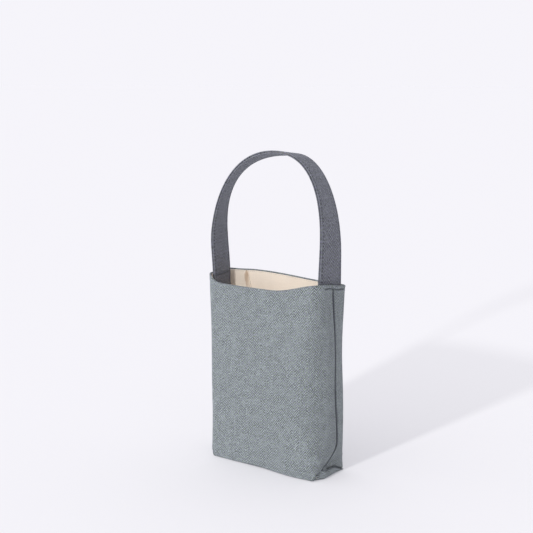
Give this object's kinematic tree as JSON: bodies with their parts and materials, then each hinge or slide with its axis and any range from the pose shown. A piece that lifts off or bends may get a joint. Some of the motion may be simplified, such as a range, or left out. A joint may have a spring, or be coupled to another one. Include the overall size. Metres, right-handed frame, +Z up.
{
  "type": "fabric tote bag",
  "caption": "Small upright open-top carry bag of woven grey-blue cloth with a cream cotton lining and one wide strap arching from side to side.",
  "frame": {"origin": "centre of the flat base, on the surface that the bag stands on", "axes": "+X across the bag from its left side seam to its right, +Y from the front panel to the back panel, +Z up towards the strap"},
  "size_m": [0.1538, 0.052, 0.3584],
  "materials": {
    "outer_cloth": "heavy matt herringbone weave, blue-grey",
    "strap_cloth": "heavy matt herringbone weave, blue-grey",
    "lining_cotton": "plain-woven cream cotton",
    "strap_webbing": "undyed cotton webbing",
    "grey_thread": "matt polyester thread",
    "cream_thread": "matt cotton thread"
  },
  "bodies": {
    "bag": {"outer_base_panel": "outer_cloth", "outer_front_wraps": "outer_cloth", "outer_back_wraps": "outer_cloth", "lining_base_panel": "lining_cotton", "lining_front_wraps": "lining_cotton", "lining_back_wraps": "lining_cotton", "left_mouth_thread": "grey_thread", "right_mouth_thread": "grey_thread", "left_side_seam_thread": "grey_thread", "right_side_seam_thread": "grey_thread", "left_lining_seam_thread": "cream_thread", "right_lining_seam_thread": "cream_thread", "left_base_seam_thread": "grey_thread", "right_base_seam_thread": "grey_thread", "left_strap_end": "strap_cloth", "right_strap_end": "strap_cloth", "left_strap_tack_thread": "grey_thread", "right_strap_tack_thread": "grey_thread"},
    "front_wall": {"outer_front_panel": "outer_cloth", "lining_front_panel": "lining_cotton", "front_mouth_thread": "grey_thread"},
    "back_wall": {"outer_back_panel": "outer_cloth", "lining_back_panel": "lining_cotton", "back_mouth_thread": "grey_thread"},
    "strap": {"strap_outer_face": "strap_cloth", "strap_inner_face": "strap_cloth", "strap_core": "strap_webbing", "strap_front_edge_thread": "grey_thread", "strap_back_edge_thread": "grey_thread"}
  },
  "joints": [
    {"name": "strap_swing", "type": "hinge", "parent": "bag", "child": "strap", "pos_m": [0, 0, 0.2375], "axis": [1, 0, 0], "range_deg": [-60, 60]},
    {"name": "front_wall_lean", "type": "hinge", "parent": "bag", "child": "front_wall", "pos_m": [0, -0.026, 0], "axis": [1, 0, 0], "range_deg": [0, 5], "stiffness_Nm_per_rad": 0.15},
    {"name": "back_wall_lean", "type": "hinge", "parent": "bag", "child": "back_wall", "pos_m": [0, 0.026, 0], "axis": [-1, 0, 0], "range_deg": [0, 5], "stiffness_Nm_per_rad": 0.15}
  ]
}
